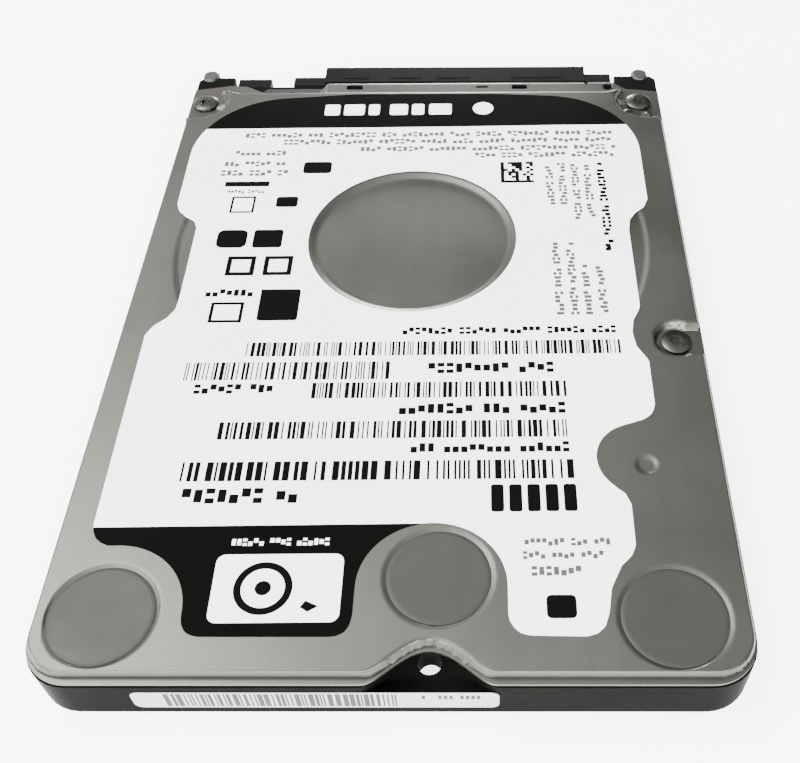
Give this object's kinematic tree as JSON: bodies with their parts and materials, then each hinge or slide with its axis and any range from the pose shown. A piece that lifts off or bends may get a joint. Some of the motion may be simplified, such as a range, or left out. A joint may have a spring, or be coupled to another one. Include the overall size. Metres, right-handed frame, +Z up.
{
  "type": "hard disk drive",
  "caption": "Thin laptop-size hard disk drive: flat tray with a stamped cover and label, a serial plug at one end, and a spinning disk and swinging arm sealed inside.",
  "frame": {"origin": "centre of the bounding box's underside, the plane the drive rests on with its label up", "axes": "+Z up through the label, +Y towards the connector end, +X to the right when the front end faces the viewer"},
  "size_m": [0.0698, 0.1002, 0.007],
  "materials": {
    "cover_steel": "satin stamped sheet, fine grain",
    "cast_black": "black electrocoated casting, satin",
    "label_paper": "printed film label, satin",
    "seal_foil": "matt grey foil disc",
    "screw_steel": "machined, semi-bright",
    "seal_rubber": "matt black",
    "filter_felt": "white fibre felt",
    "motor_steel": "ground, semi-bright",
    "copper_wire": "enamelled copper winding, satin",
    "nickel_magnet": "nickel plated, bright",
    "amber_film": "amber polyimide film",
    "board_green": "solder-masked laminate",
    "chip_black": "moulded epoxy",
    "connector_black": "moulded, satin black",
    "platter_mirror": "polished disk",
    "light_alloy": "machined, satin",
    "ramp_plastic": "natural moulded plastic",
    "slider_ceramic": "dark polished ceramic"
  },
  "bodies": {
    "enclosure": {"base_casting": "cast_black", "board_insulator": "filter_felt", "board_screw_back_left": "screw_steel", "board_screw_back_right": "screw_steel", "board_screw_front_left": "screw_steel", "board_screw_front_right": "screw_steel", "breather_filter": "filter_felt", "circuit_board": "board_green", "controller_chip": "chip_black", "cover_gasket": "seal_rubber", "cover_screw_back_left": "screw_steel", "cover_screw_back_right": "screw_steel", "cover_screw_front_centre": "screw_steel", "cover_screw_front_left": "screw_steel", "cover_screw_front_right": "screw_steel", "cover_screw_right_middle": "screw_steel", "crash_stop_inner": "seal_rubber", "crash_stop_parked": "seal_rubber", "flash_chip": "chip_black", "flex_bracket": "chip_black", "flex_cable": "amber_film", "front_label": "label_paper", "jumper_block": "connector_black", "latch_pin": "motor_steel", "load_ramp": "ramp_plastic", "magnet_lower": "nickel_magnet", "magnet_upper": "nickel_magnet", "memory_chip": "chip_black", "motor_driver_chip": "chip_black", "motor_flex": "amber_film", "pivot_shaft": "motor_steel", "ramp_screw": "screw_steel", "recirculation_filter": "filter_felt", "sata_connector": "connector_black", "seal_front_centre": "seal_foil", "seal_front_left": "seal_foil", "seal_front_right": "seal_foil", "spindle_sleeve": "motor_steel", "stator_core": "motor_steel", "stator_windings": "copper_wire", "top_cover": "cover_steel", "top_label": "label_paper", "yoke_lower": "motor_steel", "yoke_upper": "motor_steel"},
    "spindle_rotor": {"spindle_hub": "light_alloy", "rotor_magnet": "nickel_magnet", "spindle_shaft": "motor_steel", "platter": "platter_mirror", "disk_clamp": "motor_steel", "clamp_screw": "screw_steel"},
    "actuator": {"actuator_arm": "light_alloy", "pivot_sleeve": "motor_steel", "voice_coil": "copper_wire", "suspension_upper": "motor_steel", "suspension_lower": "motor_steel", "slider_upper": "slider_ceramic", "slider_lower": "slider_ceramic"},
    "latch": {"inertia_latch": "ramp_plastic"}
  },
  "joints": [
    {"name": "spindle_spin", "type": "hinge", "parent": "enclosure", "child": "spindle_rotor", "pos_m": [-0.00044, 0.0104, 0.0044], "axis": [0, 0, 1], "continuous": true},
    {"name": "arm_swing", "type": "hinge", "parent": "enclosure", "child": "actuator", "pos_m": [-0.0165, -0.0288, 0.0045], "axis": [0, 0, 1], "range_deg": [0, 32.5]},
    {"name": "latch_swing", "type": "hinge", "parent": "enclosure", "child": "latch", "pos_m": [-0.0225, -0.045, 0.0045], "axis": [0, 0, 1], "range_deg": [-10, 0]}
  ]
}
